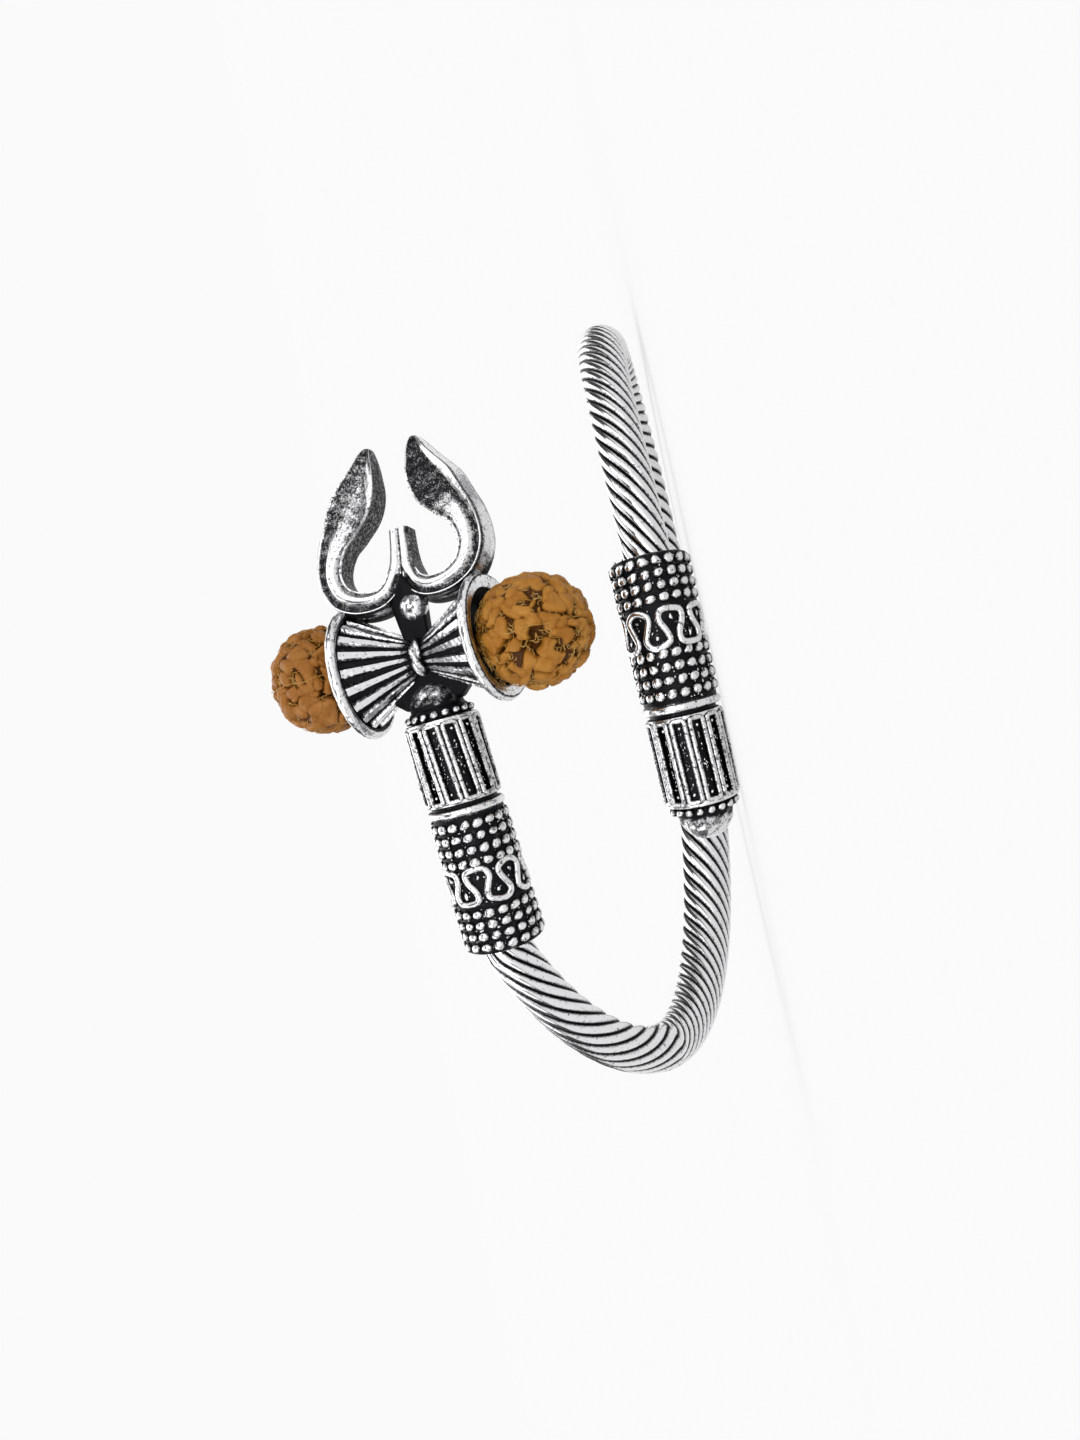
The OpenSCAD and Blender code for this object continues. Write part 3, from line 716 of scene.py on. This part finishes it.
def seed_stone(centre, r, rng):
    """A seed's surface as a ball on latitude and longitude round the drum's axis, and the directions of
    its pits. Each lump is a round cap about a middle, with its own reach and top, and a place takes the
    highest of them. Where the two highest are level, a groove parts them, and small lumps leave open
    pits. The middles are a jittered golden spiral, and waves bend the outlines."""
    lat, lon = round_grid(0.03, 220, 310)
    way = together(np.cos(lat), np.sin(lat) * np.cos(lon), np.sin(lat) * np.sin(lon))
    ripples = rng.normal(0, 1, (12, 3)) * 7
    bends = rng.normal(0, 1, (12, 3)) * 0.027
    warped = unit(way + np.sin(way @ ripples.T + np.arange(12)) @ bends)
    turn = np.pi * (3 - np.sqrt(5)) * np.arange(lumps)
    high = 1 - 2 * (np.arange(lumps) + 0.5) / lumps
    spread = np.sqrt(1 - high ** 2)
    spiral = together(high, spread * np.cos(turn), spread * np.sin(turn))
    middles = unit(spiral + rng.normal(0, 0.07, (lumps, 3)))
    reach = rng.uniform(0.13, 0.21, lumps) * np.where(rng.random(lumps) < 0.16, 0.45, 1)
    inside = reach - np.arccos(np.clip(warped @ middles.T, -1, 1))
    cap = ease((inside + 0.01) / 0.06)
    top = rng.uniform(-0.3, 0.0, lumps)
    depth = 0.5 + 0.5 * np.clip(np.sin(way @ ripples[:4].T * 0.5 + 2).sum(-1), -1, 1)
    pit = 0.5 + 0.7 * depth
    domed_caps = top * cap - pit[..., None] * (1 - cap) + 2.0 * np.minimum(inside - 0.13, 0)
    second, highest = np.moveaxis(np.partition(domed_caps, -2)[..., -2:], -1, 0)
    groove = np.exp(-((highest - second) / 0.035) ** 2)
    lump = cap.max(-1) - 0.22 * groove
    height = highest - 0.06 * groove + 0.03 * np.sin(way @ ripples.T * 1.7).sum(-1) / 2
    off_seam = ((lon / (2 * np.pi) * seams + 0.3) % 1 - 0.5) * 2 * np.pi / seams * np.sin(lat)
    seam = np.exp(-(off_seam / 0.016) ** 2)
    lie = r + np.minimum(height - 0.08 * seam, 0)
    pits = way[(lump < 0.6) & (np.sin(lat) > 0.12)]
    return skin(at_head(centre + lie[..., None] * way), lump * 1.05 - 0.25 * seam), pits


def hairs(path, out, beside, r):
    """Five-sided tubes round paths: at each point a circle of radius r in the plane of the directions
    out and beside."""
    phase = circle(5)[:, None]
    outwards = out[..., None, :] * np.sin(phase)
    sideways = beside[..., None, :] * np.cos(phase)
    return path[..., None, :] + r * (outwards + sideways)


def seed_fibres(centre, r, pits, rng):
    """Short curling arcs whose ends dip into the seed. Most have their middle in a pit, and the others
    are scattered about the circle where the cup's edge meets the seed. A wave bends each to the side."""
    in_pits = pits[rng.integers(0, len(pits), pit_fibres)]
    to_cup = -np.sign(centre[0]) * np.array([0.67, 0, 0])
    round_cup = unit(rng.normal(0, 1, (rim_fibres, 3)) * np.array([0, 1, 1]))
    at_rim = unit(to_cup + 0.74 * round_cup + rng.normal(0, 0.06, (rim_fibres, 3)))
    start = np.concatenate([in_pits, at_rim])
    fibres = len(start)
    aim = unit(np.cross(start, rng.normal(0, 1, start.shape)))
    t = np.linspace(-1, 1, 9)[:, None] * rng.uniform(0.03, 0.12, (fibres, 1, 1))
    curl = np.cross(start, aim)[:, None] * np.sin(t * 30 + rng.uniform(0, 6, (fibres, 1, 1))) * 0.035
    sunk = np.concatenate([rng.uniform(0.3, 0.75, pit_fibres), rng.uniform(-0.1, 0.3, rim_fibres)])
    lie = r - sunk[:, None, None] - 2.5 * t ** 2
    way = unit(start[:, None] + aim[:, None] * t + curl)
    return skin(at_head(centre + hairs(way * lie, way, np.cross(way, aim[:, None]), 0.032)))


def seam_threads(centre, r):
    """A thread on each seam: a meridian that swings a little to both sides, and rises and sinks in
    waves."""
    meridian = np.linspace(0.25, np.pi - 0.25, 90)
    seam = np.arange(seams)[:, None]
    lon = (2 * np.pi / seams) * (seam + 0.2) + 0.02 * np.sin(9 * meridian)
    way = together(np.cos(meridian), np.sin(meridian) * np.cos(lon), np.sin(meridian) * np.sin(lon))
    lie = r - 0.19 + 0.07 * np.sin(23 * meridian + 2 * seam)
    beside = together(0, -np.sin(lon), np.cos(lon))
    return skin(at_head(centre + hairs(way * lie[..., None], way, beside, 0.03)), 0.6)


fibre_gold = seed_material("fibre_gold", lump=(0.42, 0.22, 0.04), pale=(0.6, 0.38, 0.13),
                           pit=(0.25, 0.1, 0.012))
orange_seed = seed_material("orange_seed", lump=(0.275, 0.108, 0.012), pale=(0.38, 0.175, 0.03),
                            pit=(0.07, 0.024, 0.003))
brown_seed = seed_material("brown_seed", lump=(0.23, 0.085, 0.012), pale=(0.315, 0.134, 0.03),
                           pit=(0.065, 0.021, 0.003))
for end_name, centre, seed_r, number, stone_finish in (
        ("lower", np.array([11.7, -0.5, 0]), 11.3 / 2, 21, orange_seed),
        ("upper", np.array([-10.4, 0.5, 0]), 10.4 / 2, 5, brown_seed)):
    rng = np.random.default_rng(number)
    stone, pits = seed_stone(centre, seed_r, rng)
    fibres = [seed_fibres(centre, seed_r, pits, rng), seam_threads(centre, seed_r)]
    for part, skins, material in (("stone", [stone], stone_finish), ("fibres", fibres, fibre_gold)):
        piece = solid(f"{end_name}_rudraksha_{part}", skins, material, sharp=180)
        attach(piece, "root")
        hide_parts(f"{end_name}_rudraksha")

# The plain pale floor that the bracelet lies on: a milky sheet lit from below, which keeps shadows
# faint. It is scenery, not a part of the bracelet.
floor_half = 40.0
floor_corners = [(x * floor_half, y * floor_half, 0) for x, y in ((-1, -1), (1, -1), (1, 1), (-1, 1))]
floor_mesh = bpy.data.meshes.new("floor")
floor_mesh.from_pydata(floor_corners, [], [(0, 1, 2, 3)])
floor_paint = bpy.data.materials.new("floor_paint")
floor_paint.use_nodes = True
floor_shader = floor_paint.node_tree.nodes["Principled BSDF"]
floor_shader.inputs["Base Color"].default_value = (0.22, 0.22, 0.22, 1)
floor_shader.inputs["Roughness"].default_value = 0.9
floor_shader.inputs["Specular IOR Level"].default_value = 0
floor_shader.inputs["Emission Color"].default_value = (1, 1, 1, 1)
floor_shader.inputs["Emission Strength"].default_value = 0.655
floor_mesh.materials.append(floor_paint)
floor = bpy.data.objects.new("floor", floor_mesh)
bpy.context.scene.collection.objects.link(floor)

# Soft studio light: a dark room with large soft boxes, so that the silver has bright and dark
# reflections, and a pale wall at the horizon that meets the floor. Tones are shown as they are, without
# a film curve.
wall_light = 0.955
room_light = 0.06
# Direction, cosine of the half angle, strength
soft_boxes = [
    ((-0.1, -0.93, 0.35), 0.84, 2.6),
    ((-0.75, -0.2, 0.6), 0.88, 1.7),
    ((0.75, -0.3, 0.6), 0.9, 1.7),
    ((0.0, 0.35, 0.94), 0.78, 1.5),
    ((0.68, -0.72, 0.12), 0.9, 1.3),
    ((0.0, 0.8, 0.6), 0.83, 1.1),
]
world = bpy.data.worlds.new("studio")
bpy.context.scene.world = world
bpy.context.scene.view_settings.view_transform = "Standard"
world.use_nodes = True
sky = world.node_tree
sky.nodes.clear()
ray = node(sky, "TexCoord", {}).outputs["Generated"]
ray_z = node(sky, "SeparateXYZ", {"Vector": ray}).outputs["Z"]
off_horizon = node(sky, "Math", {0: ray_z}, operation="ABSOLUTE").outputs[0]
light = ramp(sky, off_horizon, 0.05, 0.13, wall_light, room_light, "SMOOTHSTEP")
for direction, reach, power in soft_boxes:
    box_way = tuple(unit(np.array(direction)))
    near_box = node(sky, "VectorMath", {0: ray, 1: box_way}, operation="DOT_PRODUCT").outputs["Value"]
    box = ramp(sky, near_box, reach, reach + 0.04, 0, power, "SMOOTHSTEP")
    light = node(sky, "Math", {0: light, 1: box}, operation="ADD").outputs[0]
background = node(sky, "Background", {"Color": (1, 1, 1, 1), "Strength": light})
node(sky, "OutputWorld", {"Surface": background.outputs[0]})

# The camera stands in front of the bracelet, just above the floor, and is rolled so that the long way of
# the loop runs up the picture, as in the photograph. A known place of the bracelet is put on its pixel.
roll = np.radians(12.2)
elevation = np.radians(0.4)
px_a_mm = 10.69
distance = 2525
sensor = 36
picture = np.array([1080, 1440])
known_place, known_px = np.array([-7.64, 0.49, 15]), np.array([574.8, 793.9])
side_on = np.array([1.0, 0, 0])
look = np.array([0, np.cos(elevation), -np.sin(elevation)])
right = -np.sin(roll) * side_on - np.cos(roll) * np.cross(side_on, look)
up = np.cross(right, look)
off = (picture / 2 - known_px) / px_a_mm
aim = known_place + right * off[0] - up * off[1]
camera_data = bpy.data.cameras.new("camera")
camera_data.sensor_width = sensor
camera_data.lens = sensor * distance * px_a_mm / picture[1]
camera_data.clip_end = 100
camera = bpy.data.objects.new("camera", camera_data)
bpy.context.scene.collection.objects.link(camera)
camera_place = np.eye(4)
camera_place[:3, :3] = together(right, up, -look)
camera_place[:3, 3] = (aim - look * distance) * MM
camera.matrix_world = camera_place.T
bpy.context.scene.camera = camera
